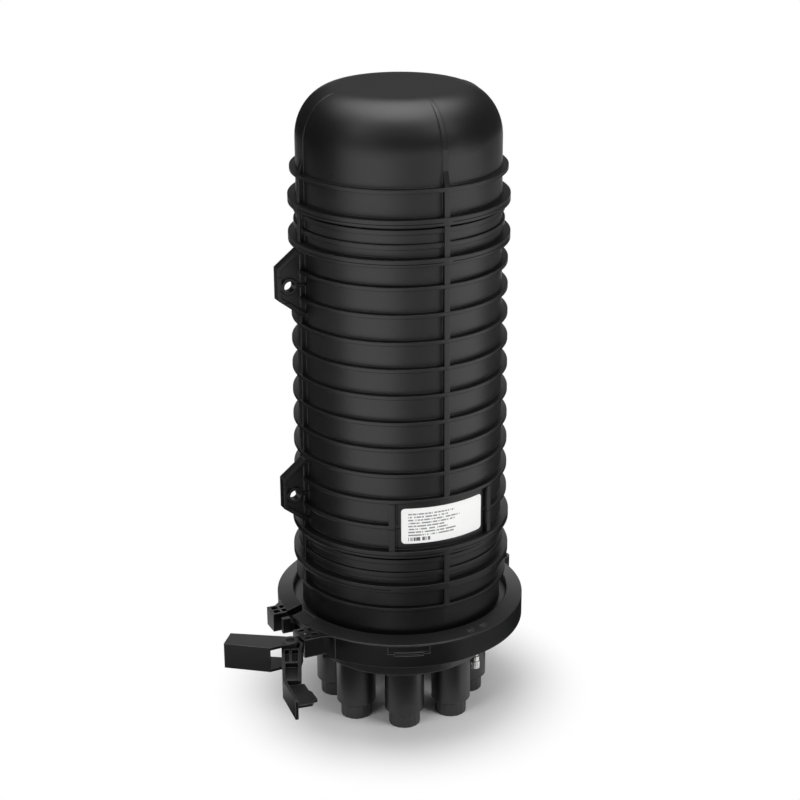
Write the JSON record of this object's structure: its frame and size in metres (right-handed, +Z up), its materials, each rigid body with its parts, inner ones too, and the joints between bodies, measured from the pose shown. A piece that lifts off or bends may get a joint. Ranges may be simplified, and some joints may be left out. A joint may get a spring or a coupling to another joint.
{
  "type": "dome fibre splice closure",
  "caption": "Tall ribbed black dome closure on a round base with cable ports below, held by a hinged clamp ring with an over-centre latch shown open.",
  "frame": {"origin": "on the dome's axis in the plane of the port tips", "axes": "+Z up along the dome; the label faces -Y and the wall lugs -X"},
  "size_m": [0.2911, 0.2498, 0.538],
  "materials": {
    "black_moulding": "fine matte moulding",
    "clamp_moulding": "satin moulding",
    "seal_rubber": "smooth",
    "label_film": "matte film",
    "steel": "satin",
    "dark_steel": "blackened",
    "plated": "nickel plated",
    "tray_plastic": "fine matte",
    "clear_plastic": "clear sheet"
  },
  "bodies": {
    "closure": {"base": "black_moulding", "sealing_ring": "seal_rubber", "dome": "black_moulding", "label": "label_film", "clamp_right": "clamp_moulding", "hinge_pin": "dark_steel", "lever_pin": "steel", "valve_body": "plated", "valve_washer": "seal_rubber", "valve_nut": "plated", "bracket_foot": "steel", "foot_screws": "steel", "bracket_plate": "steel", "tray_comb": "tray_plastic", "tray_cover": "clear_plastic", "tube_basket": "tray_plastic", "cable_posts": "tray_plastic", "strength_clamps": "steel", "strength_screws": "steel", "splice_tray_1": "tray_plastic", "splice_tray_2": "tray_plastic", "splice_tray_3": "tray_plastic", "splice_tray_4": "tray_plastic", "splice_tray_5": "tray_plastic"},
    "left_half": {"clamp_left": "clamp_moulding"},
    "lever": {"lever": "clamp_moulding"},
    "hook": {"hook": "clamp_moulding", "hook_pin": "dark_steel"},
    "valve_cap": {"valve_cap": "plated"}
  },
  "joints": [
    {"name": "clamp_hinge", "type": "hinge", "parent": "closure", "child": "left_half", "pos_m": [0.10902, 0.01805, 0.088], "axis": [0, 0, -1], "range_deg": [-2.29, 75]},
    {"name": "lever_pivot", "type": "hinge", "parent": "closure", "child": "lever", "pos_m": [-0.1076, -0.042, 0.0897], "axis": [0, 0, 1], "range_deg": [0, 70.5]},
    {"name": "hook_pivot", "type": "hinge", "parent": "lever", "child": "hook", "pos_m": [-0.12437, -0.05238, 0.0897], "axis": [0, 0, 1], "range_deg": [-118.6, 0]},
    {"name": "valve_cap_turn", "type": "hinge", "parent": "closure", "child": "valve_cap", "pos_m": [0.04896, -0.04646, 0.036], "axis": [0, 0, 1], "continuous": true}
  ],
  "couplings": [
    {"joint": "hook_pivot", "follows": "lever_pivot", "ratio": -1.681}
  ]
}
